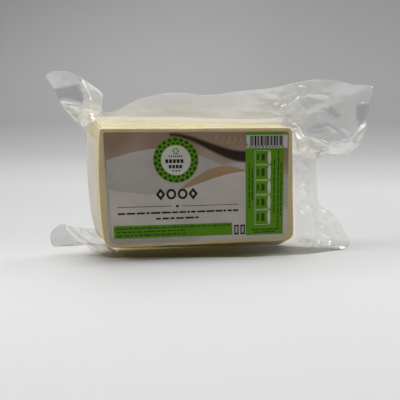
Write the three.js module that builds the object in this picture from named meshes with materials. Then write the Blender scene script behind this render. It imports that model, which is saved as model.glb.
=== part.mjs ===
// Vacuum pack of tofu that stands on its long side, in millimetres.
// X runs along the pack, Y from the label to the back, Z is up. The origin is on
// the floor, under the middle of the block.

import * as THREE from 'three';
import { mergeVertices } from 'three/addons/utils/BufferGeometryUtils.js';

// Driving dimensions

const frontFace = { width: 139.8, height: 82 };
const backFace = { width: 142.5, height: 85 };
const girth = { width: 149, height: 93, corner: 6, drop: 0.0244, middle: 48.75 };
const blockSkew = { lean: 0.029, taper: 0, pull: 2.34 };
const labelSkew = { lean: 0.0215, taper: 0.025, pull: 0 };
const blockDepth = 45;
const faceMiddle = 50.1;
const edgeRound = 1.2;
const seamPlane = 4;

// Corner radii: upper left, upper right, lower right, lower left
const faceCorners = [1.5, 3.5, 6, 7];
const girthCorners = [5, 6, 8, 24];

const label = {
  width: 130, height: 76, shift: 0.5, middle: 50, thick: 0.3, topCorner: 1, lowCorner: 5,
};

const samplesPerKey = 3;
const tentSteps = 2;
const skirtSteps = 3;

// Distances along the girth, clockwise from the lower end of the left side

const sideRun = girth.height - 2 * girth.corner;
const topRun = girth.width - 2 * girth.corner;
const cornerRun = (Math.PI / 2) * girth.corner;
const topLeft = sideRun + cornerRun;
const topRight = topLeft + topRun;
const sideRight = topRight + cornerRun;
const lowRight = sideRight + sideRun;
const footRight = lowRight + cornerRun;
const footLeft = footRight + topRun;
const wholeGirth = footLeft + cornerRun;

// Rim of the loose film. Each key holds a point of the rim (x, y, z), the
// thickness there, the place on the girth that it hangs from, and how far out
// the film is still lifted by the block (0 at the girth, 1 at the rim).

const sheet = 1.2;
const rimKeys = [
  // left side, where the film hugs the block
  [-73.2, 4, 40, 3, 12, 0.5],
  [-74.8, 4, 62, 3, 42, 0.5],
  [-75.1, 4, 80, 3, 66, 0.5],
  // upper left ear, curled towards the front
  [-77.2, 3, 90, sheet, sideRun - 1, 0.45],
  [-85, 2, 97.8, sheet, sideRun + 1, 0.35],
  [-89, 0, 102.5, sheet, sideRun + 2, 0.3],
  [-93, -2, 109, sheet, sideRun + 3, 0.28],
  [-97.2, -5, 118.2, sheet, sideRun + 4, 0.26],
  [-102, -8, 126.3, sheet, sideRun + 5, 0.26],
  [-92.5, -7, 129.4, sheet, sideRun + 6, 0.26],
  [-84.5, -3, 128.1, sheet, sideRun + 7, 0.26],
  [-73.5, 0, 122.3, sheet, sideRun + 8, 0.28],
  [-63.3, 3, 113.8, sheet, topLeft + 1, 0.33],
  [-64.5, 5, 107, sheet, topLeft + 3, 0.35],
  [-62, 5, 102.3, sheet, topLeft + 5, 0.4],
  // fin along the top
  [-55, 4, 102.7, sheet, topLeft + 11, 0.35],
  [-42, 3, 109.3, sheet, topLeft + 24, 0.18],
  [-30, 4, 112.9, sheet, topLeft + 36, 0.15],
  [-10, 6, 115.8, sheet, topLeft + 57, 0.15],
  [12.5, 4, 114.2, sheet, topLeft + 80, 0.15],
  [37, 2, 117.2, sheet, topLeft + 103, 0.12],
  [60.5, 4, 119.6, sheet, topLeft + 123, 0.12],
  [78, 6, 122.9, sheet, topRight - 4, 0.14],
  // large flap at the upper right
  [95.5, 5, 126.1, sheet, topRight, 0.14],
  [113, 3, 125.6, sheet, topRight + 2, 0.13],
  [127, 5, 123.2, sheet, topRight + 3.5, 0.12],
  [146.5, 8, 120.8, sheet, topRight + 5, 0.12],
  [143, 6, 110, sheet, topRight + 6.5, 0.14],
  [139.5, 3, 99.5, sheet, topRight + 8, 0.18],
  [135.5, 2, 88, sheet, sideRight + 1, 0.22],
  [131.5, 1, 76, sheet, sideRight + 4.5, 0.3],
  [124, 1, 69, sheet, sideRight + 8, 0.36],
  [110, 3, 69.5, sheet, sideRight + 14, 0.55],
  // right side, drawn off the block in a broad slope
  [99, 4, 66, sheet, sideRight + 22, 0.82],
  [98, 2, 54, sheet, sideRight + 34, 0.85],
  [98.5, 0, 42, sheet, sideRight + 46, 0.85],
  [99.5, -2, 32, sheet, sideRight + 55, 0.8],
  // lower right gather, which reaches the floor in front
  [107, -8, 26, sheet, sideRight + 64, 0.55],
  [113.5, -12, 15.5, 2, sideRight + 71, 0.5],
  [117.5, -16, 5, 3, lowRight - 1, 0.45],
  [112.5, -18.5, 0, 4, lowRight + 2, 0.45],
  [100, -17, 0, 12, lowRight + 5, 0.5],
  [80, -14, 0, 30, footRight - 1, 0.5],
  // folded edge below the block, which it stands on, drawn forward towards the right
  [66, -9.5, 0, 43, footRight + 2, 0.5],
  [34, -8, 0, 42, footRight + 33, 0.5],
  [0, -3.7, 0, 37, footRight + 67, 0.5],
  [-34, 0.8, 0, 28.5, footRight + 100, 0.5],
  [-62, 3.2, 0, 21.5, footLeft - 3, 0.5],
  // lower left ear
  [-71, 4, 1.5, 11, footLeft + 1, 0.45],
  [-79, 6, 9.2, 2, footLeft + 2.2, 0.35],
  [-91, 8, 7.8, sheet, footLeft + 3, 0.3],
  [-99.5, 9, 6.8, sheet, footLeft + 3.7, 0.3],
  [-101.6, 10, 12, sheet, footLeft + 4.3, 0.3],
  [-100, 9, 18, sheet, footLeft + 4.9, 0.3],
  [-93, 8, 22.6, sheet, footLeft + 5.5, 0.3],
  [-84.5, 6, 20.6, sheet, footLeft + 6.1, 0.35],
  [-76.5, 5, 19.9, sheet, footLeft + 6.6, 0.45],
  [-70, 4, 19.6, sheet, footLeft + 7, 0.5],
  [-71, 4, 26, 3, footLeft + 8, 0.5],
];

// Point of a rounded rectangle, at the place of its outline that a distance along
// the girth stands for

const runs = [sideRun, topRun, sideRun, topRun];
const headings = [[0, 1], [1, 0], [0, -1], [-1, 0]];
const cornerSigns = [[-1, 1], [1, 1], [1, -1], [-1, -1]];

function outlinePoint(along, width, height, corners) {
  let rest = along % wholeGirth;
  let side = 0;
  while (side < 3 && rest > runs[side] + cornerRun) {
    rest -= runs[side] + cornerRun;
    side += 1;
  }
  const before = (side + 3) % 4;
  const heading = new THREE.Vector2(...headings[side]);
  const turned = new THREE.Vector2(...headings[(side + 1) % 4]);
  const half = new THREE.Vector2(width / 2, height / 2);
  const start = new THREE.Vector2(...cornerSigns[before]).multiply(half);
  const stop = new THREE.Vector2(...cornerSigns[side]).multiply(half);
  start.addScaledVector(heading, corners[before]);
  stop.addScaledVector(heading, -corners[side]);
  if (rest <= runs[side]) {
    return start.lerp(stop, rest / runs[side]);
  }
  const angle = ((rest - runs[side]) / cornerRun) * (Math.PI / 2);
  stop.addScaledVector(turned, corners[side] * (1 - Math.cos(angle)));
  return stop.addScaledVector(heading, corners[side] * Math.sin(angle));
}

// Leaning sides, closer together towards the floor by the taper. The ends of the left
// side are pulled in.

function skewed(x, z, skew) {
  const side = x / (frontFace.width / 2);
  const inward = Math.max(-side, 0) * (z / (frontFace.height / 2)) ** 2;
  return x - skew.lean * z + skew.taper * z * side + skew.pull * inward;
}

function facePoint(along, face, inset, depth) {
  const { x, y } = outlinePoint(
    along, face.width - 2 * inset, face.height - 2 * inset, faceCorners);
  return new THREE.Vector3(skewed(x, y, blockSkew), depth, faceMiddle + y);
}

function rootPoint(along) {
  const { x, y } = outlinePoint(along, girth.width, girth.height, girthCorners);
  return new THREE.Vector3(
    skewed(x, y, blockSkew), seamPlane, girth.middle + y - girth.drop * x);
}

// Values between the keys of the rim

const rimCurve = new THREE.CatmullRomCurve3(
  rimKeys.map(([x, y, z]) => new THREE.Vector3(x, y, z)), true, 'centripetal');

function rimAt(turn) {
  const place = turn * rimKeys.length;
  const index = Math.floor(place) % rimKeys.length;
  const next = (index + 1) % rimKeys.length;
  const part = place - Math.floor(place);
  const between = (column) => {
    const step = rimKeys[next][column] - rimKeys[index][column];
    return rimKeys[index][column] + step * part;
  };
  const wrap = next === 0 ? wholeGirth : 0;
  const point = rimCurve.getPoint(turn);
  point.z = Math.max(point.z, 0);
  return { point, thick: between(3), along: between(4) + wrap * part, lift: between(5) };
}

// One side of the film, from the middle of a face out to the rim

function sideProfile(turn, face, depth, towards) {
  const { point, thick, along, lift } = rimAt(turn);
  const root = rootPoint(along);
  const rim = point.clone();
  rim.y += (towards * thick) / 2;
  const slopeEnd = root.clone().lerp(point, lift);
  slopeEnd.y += (towards * thick) / 2;
  slopeEnd.z = Math.max(slopeEnd.z, rim.z === 0 ? 2 * lift : 0);
  const edge = facePoint(along, face, 0, depth - towards * edgeRound);
  const profile = [
    new THREE.Vector3(0, depth, faceMiddle),
    facePoint(along, face, edgeRound, depth),
  ];
  for (let step = 0; step < tentSteps; step += 1) {
    profile.push(edge.clone().lerp(slopeEnd, step / tentSteps));
  }
  for (let step = 0; step <= skirtSteps; step += 1) {
    profile.push(slopeEnd.clone().lerp(rim, step / skirtSteps));
  }
  return profile;
}

// The whole closed pack: a sphere's grid whose poles are the middles of the faces

function packGeometry() {
  const around = rimKeys.length * samplesPerKey;
  const rings = 2 * (3 + tentSteps + skirtSteps) - 1;
  const geometry = new THREE.SphereGeometry(1, around, rings);
  const position = geometry.getAttribute('position');
  for (let column = 0; column <= around; column += 1) {
    const turn = (1 - column / around) % 1;
    const front = sideProfile(turn, frontFace, -blockDepth / 2, -1);
    const back = sideProfile(turn, backFace, blockDepth / 2, 1);
    const profile = [...front, ...back.reverse()];
    profile.forEach((point, ring) => {
      position.setXYZ(ring * (around + 1) + column, point.x, point.y, point.z);
    });
  }
  geometry.deleteAttribute('normal');
  geometry.deleteAttribute('uv');
  const closed = mergeVertices(geometry, 1e-4);
  closed.computeVertexNormals();
  return closed;
}

// The label: a thin plate with rounded lower corners

function labelGeometry() {
  const right = label.width / 2;
  const top = label.height / 2;
  const shape = new THREE.Shape();
  shape.moveTo(-right, label.lowCorner - top);
  shape.absarc(label.lowCorner - right, label.lowCorner - top, label.lowCorner, Math.PI, 1.5 * Math.PI);
  shape.absarc(right - label.lowCorner, label.lowCorner - top, label.lowCorner, -Math.PI / 2, 0);
  shape.absarc(right - label.topCorner, top - label.topCorner, label.topCorner, 0, Math.PI / 2);
  shape.absarc(label.topCorner - right, top - label.topCorner, label.topCorner, Math.PI / 2, Math.PI);
  const settings = { depth: label.thick, bevelEnabled: false, curveSegments: 4 };
  const geometry = new THREE.ExtrudeGeometry(shape, settings);
  const position = geometry.getAttribute('position');
  for (let index = 0; index < position.count; index += 1) {
    position.setX(index, skewed(position.getX(index), position.getY(index), labelSkew));
  }
  return geometry;
}

const film = new THREE.MeshStandardMaterial({ color: 0xe9e3cc, roughness: 0.25, metalness: 0 });
const bag = new THREE.Mesh(packGeometry(), film);
bag.name = 'bag';

const paper = new THREE.MeshStandardMaterial({ color: 0x8fa63a, roughness: 0.5, metalness: 0 });
const front = new THREE.Mesh(labelGeometry(), paper);
front.name = 'label';
front.rotation.x = Math.PI / 2;
front.position.set(label.shift, -blockDepth / 2, label.middle);

const group = new THREE.Group();
group.add(bag, front);

export default group;
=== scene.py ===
# Vacuum pack of tofu: crumpled clear film round a cream block, with a printed label.
# Shapes are worked out in millimetres, in the frame of the CAD model, and the meshes
# are made in metres.

import math
import random

import bmesh
import bpy
from mathutils import Matrix, Vector, noise


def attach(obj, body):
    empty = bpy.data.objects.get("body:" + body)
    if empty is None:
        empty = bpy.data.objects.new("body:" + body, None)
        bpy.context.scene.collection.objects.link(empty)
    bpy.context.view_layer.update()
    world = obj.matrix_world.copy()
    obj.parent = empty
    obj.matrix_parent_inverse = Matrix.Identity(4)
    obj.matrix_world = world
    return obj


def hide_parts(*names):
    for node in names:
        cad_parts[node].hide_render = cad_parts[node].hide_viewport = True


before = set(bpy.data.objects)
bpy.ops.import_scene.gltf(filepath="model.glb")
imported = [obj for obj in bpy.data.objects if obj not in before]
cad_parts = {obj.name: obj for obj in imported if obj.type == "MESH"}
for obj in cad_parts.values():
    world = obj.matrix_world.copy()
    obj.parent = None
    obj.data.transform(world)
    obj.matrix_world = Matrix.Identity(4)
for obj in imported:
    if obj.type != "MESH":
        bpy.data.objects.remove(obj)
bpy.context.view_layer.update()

millimetre = 0.001


def smooth(value):
    value = min(max(value, 0.0), 1.0)
    return value * value * (3.0 - 2.0 * value)


def between(start, end, part):
    return start + (end - start) * part


def fade(value, start, end):
    # 0 up to the start, 1 from the end on, with a soft change between them
    return smooth((value - start) / (end - start))


# Form of the pack, as in the CAD model, in millimetres

pack = {
    "frontWidth": 139.8,
    "frontHeight": 82.0,
    "backWidth": 142.5,
    "backHeight": 85.0,
    "girthWidth": 149.0,
    "girthHeight": 93.0,
    "girthMiddle": 48.75,
    "corner": 6.0,
    "faceCorners": (1.5, 3.5, 6.0, 7.0),
    "girthCorners": (5.0, 6.0, 8.0, 24.0),
    "drop": 0.0244,
    "skew": {"lean": 0.029, "taper": 0.0, "pull": 2.34},
    "depth": 45.0,
    "faceMiddle": 50.1,
    "seamPlane": 4.0,
    "edgeRound": 0.8,
}

# Runs of the girth and places along it, clockwise from the foot of the left side
sideRun = pack["girthHeight"] - 2 * pack["corner"]
topRun = pack["girthWidth"] - 2 * pack["corner"]
cornerRun = 0.5 * math.pi * pack["corner"]
topLeft = sideRun + cornerRun
topRight = topLeft + topRun
sideRight = topRight + cornerRun
lowRight = sideRight + sideRun
footRight = lowRight + cornerRun
footLeft = footRight + topRun
wholeGirth = footLeft + cornerRun

# Rim of the loose film. Each key holds a point of the rim (x, y, z), the thickness
# there, the place on the girth that it hangs from, how far out the block still lifts
# the film, how crumpled the film is, and how milky it looks, or where negative, how much painted shade
# darkens it.

rimKeys = [
    # left side
    (-73.2, 4, 40, 3, 12, 0.5, 0.3, 0.2),
    (-74.8, 4, 62, 3, 42, 0.5, 0.3, 0.2),
    (-75.1, 4, 80, 3, 66, 0.5, 0.4, 0.2),
    # upper left ear
    (-77.2, 3, 90, 0.6, sideRun - 1, 0.45, 0.7, 0.22),
    (-85, 2, 97.8, 0.6, sideRun + 1, 0.35, 0.9, 0.24),
    (-89, 0, 102.5, 0.6, sideRun + 2, 0.3, 1.0, 0.24),
    (-93, -2, 109, 0.6, sideRun + 3, 0.28, 0.9, 0.2),
    (-97.2, -5, 118.2, 0.6, sideRun + 4, 0.26, 0.7, 0.2),
    (-102, -8, 126.3, 0.6, sideRun + 5, 0.26, 0.5, 0.2),
    (-92.5, -7, 129.4, 0.6, sideRun + 6, 0.26, 0.6, 0.2),
    (-84.5, -3, 128.1, 0.6, sideRun + 7, 0.26, 0.7, 0.2),
    (-73.5, 0, 122.3, 0.6, sideRun + 8, 0.28, 0.8, 0.22),
    (-63.3, 3, 113.8, 0.6, topLeft + 1, 0.33, 0.6, 0.26),
    (-64.5, 5, 107, 0.6, topLeft + 3, 0.35, 0.5, 0.3),
    (-62, 5, 102.3, 0.6, topLeft + 5, 0.4, 0.4, 0.32),
    # fin along the top
    (-55, 4, 102.7, 0.6, topLeft + 11, 0.35, 0.3, 0.36),
    (-42, 3, 109.3, 0.6, topLeft + 24, 0.18, 0.25, 0.36),
    (-30, 4, 112.9, 0.6, topLeft + 36, 0.15, 0.25, 0.36),
    (-10, 6, 115.8, 0.6, topLeft + 57, 0.15, 0.25, 0.36),
    (12.5, 4, 114.2, 0.6, topLeft + 80, 0.15, 0.25, 0.36),
    (37, 2, 117.2, 0.6, topLeft + 103, 0.12, 0.3, 0.36),
    (60.5, 4, 119.6, 0.6, topLeft + 123, 0.12, 0.5, 0.34),
    (78, 6, 122.9, 0.6, topRight - 4, 0.14, 1.0, 0.28),
    # large flap at the upper right
    (95.5, 5, 126.1, 0.6, topRight, 0.14, 1.0, 0.22),
    (113, 3, 125.6, 0.6, topRight + 2, 0.13, 0.9, 0.18),
    (127, 5, 123.2, 0.6, topRight + 3.5, 0.12, 0.8, 0.17),
    (146.5, 8, 120.8, 0.6, topRight + 5, 0.12, 0.6, 0.17),
    (143, 6, 110, 0.6, topRight + 6.5, 0.14, 0.7, 0.18),
    (139.5, 3, 99.5, 0.6, topRight + 8, 0.18, 0.8, 0.18),
    (135.5, 2, 88, 0.6, sideRight + 1, 0.22, 0.9, 0.2),
    (131.5, 1, 76, 0.6, sideRight + 4.5, 0.3, 1.0, 0.24),
    (124, 1, 69, 0.6, sideRight + 8, 0.36, 1.0, 0.26),
    (110, 3, 69.5, 0.6, sideRight + 14, 0.55, 1.0, 0.28),
    # right side
    (99, 4, 66, 0.6, sideRight + 22, 0.82, 0.9, 0.14),
    (98, 2, 54, 0.6, sideRight + 34, 0.85, 0.8, 0.08),
    (98.5, 0, 42, 0.6, sideRight + 46, 0.85, 0.8, 0.08),
    (99.5, -2, 32, 0.6, sideRight + 55, 0.8, 0.9, 0.1),
    # lower right gather
    (107, -8, 26, 0.6, sideRight + 64, 0.55, 1.2, 0.16),
    (113.5, -12, 15.5, 1, sideRight + 71, 0.5, 1.3, 0.2),
    (117.5, -16, 5, 2, lowRight - 1, 0.45, 1.3, 0.14),
    (112.5, -18.5, 0, 3, lowRight + 2, 0.45, 1.2, 0.2),
    (100, -17, 0, 12, lowRight + 5, 0.5, 1.0, 0.16),
    (80, -14, 0, 30, footRight - 1, 0.5, 0.6, 0.1),
    # folded edge below the block, drawn forward towards the right
    (66, -9.5, 0, 43, footRight + 2, 0.5, 0.3, 0.04),
    (34, -8, 0, 42, footRight + 33, 0.5, 0.3, 0.02),
    (0, -3.7, 0, 37, footRight + 67, 0.5, 0.3, 0.02),
    (-34, 0.8, 0, 28.5, footRight + 100, 0.5, 0.3, 0.02),
    (-62, 3.2, 0, 21.5, footLeft - 3, 0.5, 0.3, 0.04),
    # lower left ear, its middle darkened with painted shade
    (-71, 4, 1.5, 11, footLeft + 1, 0.45, 0.6, 0.24),
    (-79, 6, 9.2, 1.5, footLeft + 2.2, 0.35, 0.9, 0.24),
    (-91, 8, 7.8, 0.6, footLeft + 3, 0.3, 1.0, -0.11),
    (-99.5, 9, 6.8, 0.6, footLeft + 3.7, 0.3, 0.9, -0.12),
    (-101.6, 10, 12, 0.6, footLeft + 4.3, 0.3, 0.8, -0.12),
    (-100, 9, 18, 0.6, footLeft + 4.9, 0.3, 0.9, -0.12),
    (-93, 8, 22.6, 0.6, footLeft + 5.5, 0.3, 1.0, -0.11),
    (-84.5, 6, 20.6, 0.6, footLeft + 6.1, 0.35, 0.9, 0.24),
    (-76.5, 5, 19.9, 0.6, footLeft + 6.6, 0.45, 0.7, 0.24),
    (-70, 4, 19.6, 0.6, footLeft + 7, 0.5, 0.5, 0.22),
    (-71, 4, 26, 3, footLeft + 8, 0.5, 0.3, 0.2),
]


# Sides of a rounded rectangle in the order of the girth: run, direction, corner at its end
outlineSides = (
    (sideRun, Vector((0, 1)), Vector((-1, 1))),
    (topRun, Vector((1, 0)), Vector((1, 1))),
    (sideRun, Vector((0, -1)), Vector((1, -1))),
    (topRun, Vector((-1, 0)), Vector((-1, -1))),
)


def outlinePoint(along, width, height, corners):
    # Place on a rounded rectangle that a distance along the girth stands for
    rest = along % wholeGirth
    side = 0
    while side < 3 and rest > outlineSides[side][0] + cornerRun:
        rest -= outlineSides[side][0] + cornerRun
        side += 1
    run, heading, corner = outlineSides[side]
    before = outlineSides[side - 1][2]
    turned = outlineSides[(side + 1) % 4][1]
    half = Vector((0.5 * width, 0.5 * height))
    start = before * half + heading * corners[side - 1]
    stop = corner * half - heading * corners[side]
    if rest <= run:
        return start.lerp(stop, rest / run)
    angle = 0.5 * math.pi * (rest - run) / cornerRun
    return stop + corners[side] * (turned * (1.0 - math.cos(angle)) + heading * math.sin(angle))


def skewed(x, z, skew):
    # Leaning sides, closer together towards the floor by the taper. The ends of the left
    # side are pulled in.
    side = 2.0 * x / pack["frontWidth"]
    inward = max(-side, 0.0) * (2.0 * z / pack["frontHeight"]) ** 2
    return x - skew["lean"] * z + skew["taper"] * z * side + skew["pull"] * inward


def facePoint(along, width, height, inset, depth):
    x, z = outlinePoint(along, width - 2 * inset, height - 2 * inset, pack["faceCorners"])
    return Vector((skewed(x, z, pack["skew"]), depth, pack["faceMiddle"] + z))


def roundedEdge(along, side, gap, rounding, rings):
    # Points over the rounded edge of the front or back face, a gap below the pack's surface
    name = "front" if side < 0 else "back"
    width = pack[name + "Width"] - 2 * gap
    height = pack[name + "Height"] - 2 * gap
    depth = side * (0.5 * pack["depth"] - gap)
    points = []
    for step in range(rings + 1):
        angle = 0.5 * math.pi * step / rings
        inset = rounding * (1.0 - math.sin(angle))
        level = depth - side * rounding * (1.0 - math.cos(angle))
        points.append(facePoint(along, width, height, inset, level))
    return points


def rootPoint(along, inset=0.0):
    width = pack["girthWidth"] - 2 * inset
    height = pack["girthHeight"] - 2 * inset
    x, z = outlinePoint(along, width, height, pack["girthCorners"])
    return Vector((skewed(x, z, pack["skew"]), pack["seamPlane"],
                   pack["girthMiddle"] + z - pack["drop"] * x))


def curvePoint(points, index, part):
    # centripetal spline through a closed row of points
    count = len(points)
    p0, p1, p2, p3 = (points[(index + shift) % count] for shift in (-1, 0, 1, 2))
    d0, d1, d2 = ((b - a).length ** 0.5 for a, b in ((p0, p1), (p1, p2), (p2, p3)))
    t1 = ((p1 - p0) / d0 - (p2 - p0) / (d0 + d1) + (p2 - p1) / d1) * d1
    t2 = ((p2 - p1) / d1 - (p3 - p1) / (d1 + d2) + (p3 - p2) / d2) * d1
    square, cube = part * part, part * part * part
    return p1 + t1 * part + (3 * (p2 - p1) - 2 * t1 - t2) * square + (2 * (p1 - p2) + t1 + t2) * cube


rimPoints = [Vector(key[:3]) for key in rimKeys]


def rimAt(turn):
    # The rim's point and values at a share of one turn round the pack
    place = (turn % 1.0) * len(rimKeys)
    index = int(place)
    part = place - index
    this = rimKeys[index % len(rimKeys)]
    following = rimKeys[(index + 1) % len(rimKeys)]
    wrap = wholeGirth if (index + 1) % len(rimKeys) == 0 else 0.0
    point = curvePoint(rimPoints, index, part)
    point.z = max(point.z, 0.0)
    thick, along, lift, crumpled, haze = (
        between(this[column], following[column], part) for column in range(3, 8))
    return point, thick, along + wrap * part, lift, crumpled, haze


def gridMesh(strands, layers=()):
    # A grid that is shut round the pack, and what the strands hold for each of its points
    columns = len(strands)
    rows = len(strands[0]) - 1
    mesh = bmesh.new()
    for layer in layers:
        mesh.verts.layers.float.new(layer)
    bmesh.ops.create_grid(mesh, x_segments=columns, y_segments=rows, size=0.5)
    values = {}
    for vertex in mesh.verts:
        column = round((vertex.co.x + 0.5) * columns)
        row = round((vertex.co.y + 0.5) * rows)
        values[vertex] = strands[column % columns][row]
    return mesh, values


def finishObject(name, mesh, materials, smoothFaces=True):
    bmesh.ops.recalc_face_normals(mesh, faces=mesh.faces)
    for face in mesh.faces:
        face.smooth = smoothFaces
    data = bpy.data.meshes.new(name)
    mesh.to_mesh(data)
    mesh.free()
    for material in materials:
        data.materials.append(material)
    made = bpy.data.objects.new(name, data)
    bpy.context.scene.collection.objects.link(made)
    return made


# Material helpers

class Nodes:
    def __init__(self, name):
        self.material = bpy.data.materials.new(name)
        self.material.use_nodes = True
        self.tree = self.material.node_tree
        self.tree.nodes.clear()
        self.output = self.tree.nodes.new("ShaderNodeOutputMaterial")
        self.coordinates = self.add("TexCoord").outputs["Object"]

    def add(self, kind, **settings):
        node = self.tree.nodes.new("ShaderNode" + kind)
        for key, value in settings.items():
            setattr(node, key, value)
        return node

    def link(self, source, target):
        self.tree.links.new(source, target)

    def noise(self, scale, detail):
        node = self.add("TexNoise")
        node.inputs["Scale"].default_value = scale
        node.inputs["Detail"].default_value = detail
        node.inputs["Roughness"].default_value = 0.55
        self.link(self.coordinates, node.inputs["Vector"])
        return node.outputs["Fac"]

    def place(self):
        # The x, y and z of a point of the surface
        node = self.add("SeparateXYZ")
        self.link(self.coordinates, node.inputs["Vector"])
        return node.outputs

    def ramp(self, source, stops):
        node = self.add("ValToRGB")
        elements = node.color_ramp.elements
        while len(elements) < len(stops):
            elements.new(0.5)
        for element, (position, colour) in zip(elements, stops):
            element.position = position
            element.color = (*colour, 1.0)
        self.link(source, node.inputs["Fac"])
        return node.outputs["Color"]

    def math(self, operation, first, second, clamp=False):
        node = self.add("Math", operation=operation, use_clamp=clamp)
        for socket, value in zip(node.inputs, (first, second)):
            if isinstance(value, (int, float)):
                socket.default_value = value
            else:
                self.link(value, socket)
        return node.outputs[0]

    def distanceAlong(self, direction):
        # How far a point of the surface lies along a direction
        node = self.add("VectorMath", operation="DOT_PRODUCT")
        node.inputs[1].default_value = direction
        self.link(self.coordinates, node.inputs[0])
        return node.outputs["Value"]

    def bump(self, height, strength, distance):
        node = self.add("Bump")
        node.inputs["Strength"].default_value = strength
        node.inputs["Distance"].default_value = distance
        self.link(height, node.inputs["Height"])
        return node.outputs["Normal"]

    def attribute(self, name):
        return self.add("Attribute", attribute_name=name).outputs["Fac"]

    def tint(self, share, first, second):
        node = self.add("Mix", data_type="RGBA")
        node.inputs["A"].default_value = (*first, 1.0)
        node.inputs["B"].default_value = (*second, 1.0)
        self.link(share, node.inputs["Factor"])
        return node.outputs["Result"]

    def mixed(self, share, first, second):
        node = self.add("MixShader")
        self.link(share, node.inputs["Fac"])
        self.link(first, node.inputs[1])
        self.link(second, node.inputs[2])
        return node.outputs["Shader"]

    def body(self, colour, roughness, normal=None):
        node = self.add("BsdfPrincipled")
        node.inputs["Roughness"].default_value = roughness
        self.link(colour, node.inputs["Base Color"])
        if normal is not None:
            self.link(normal, node.inputs["Normal"])
        return node

    def surface(self, shader):
        self.link(shader, self.output.inputs["Surface"])
        return self.material


# Film

film = {
    # numbers of columns and rings
    "fewestColumns": 3,
    "crumpledColumns": 13,
    "faceRings": 3,
    "ringSpread": 0.6,
    "roundRings": 4,
    "slopeRings": 14,
    "looseRings": 38,
    # slopes from the block to the loose film: their hollow, as a share of the reach up to
    # a longest one, and their wrinkles
    "hollow": 0.18,
    "hollowReach": 14.0,
    "slopeWrinkle": 0.4,
    "wrinkleScale": (0.13, 2.5),
    "partOnSlope": 0.4,
    # loose film: crumples as size, height and layer of the noise, folds that fan out from
    # the block, thickness from which it is stiff, and its calmer rim
    "crumpleHeight": 1.8,
    "crumpleWaves": ((24.0, 1.0, 1.7), (11.0, 0.5, 5.3), (5.0, 0.2, 9.1)),
    "crumpleBend": (6.0, 0.03),
    "foldHeight": 1.1,
    "foldScale": (0.5, 1.2),
    "stiffThickness": 3.0,
    "rimCalm": 0.55,
    "creaseFade": 0.15,
    "creaseReach": 4.0,
    "partEdge": 1.6,
    "partReach": (28, 22),
    # stretches over which it goes from loose to bound, and carries the whey tint that is
    # also painted shade under the block, and where the milky left side starts
    "boundThickness": (6.0, 18.0),
    "wheyShadeStarts": (-70.0, -58.0),
    "wheyShadeEnds": (20.0, 65.0),
    "leastWheyShade": 0.05,
    "leftSide": (-68.0, -72.0),
    "sideThickness": (1.0, 2.5),
    # milkiness
    "tightHaze": 0.003,
    "edgeHaze": 0.01,
    "leastHaze": 0.02,
    "slopeHaze": 0.045,
    "slopeThinning": 0.45,
    "rimShare": 0.75,
    "sideHaze": 0.85,
    "foldedHaze": 1.2,
    "thickMilk": 0.35,
    "glow": 0.85,
    # how much of the block's cream it takes on
    "tightCream": 0.6,
    "slopeCream": (0.7, 0.25),
    "longSlopeCream": 0.6,
    "looseCream": 0.3,
    "looseCreamReach": 22.0,
    # colours and shine
    "colour": (0.90, 0.90, 0.88),
    "creamColour": (0.90, 0.84, 0.64),
    "clearColour": (0.975, 0.975, 0.972),
    # whey tint, partly painted shade: it darkens the film below the block
    "wheyShadeColour": (0.74, 0.70, 0.47),
    "tightGloss": 0.006,
    "looseGloss": 0.045,
    "foldGloss": 0.6,
    "roughness": 0.1,
    "milkRoughness": 0.35,
}


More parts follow.
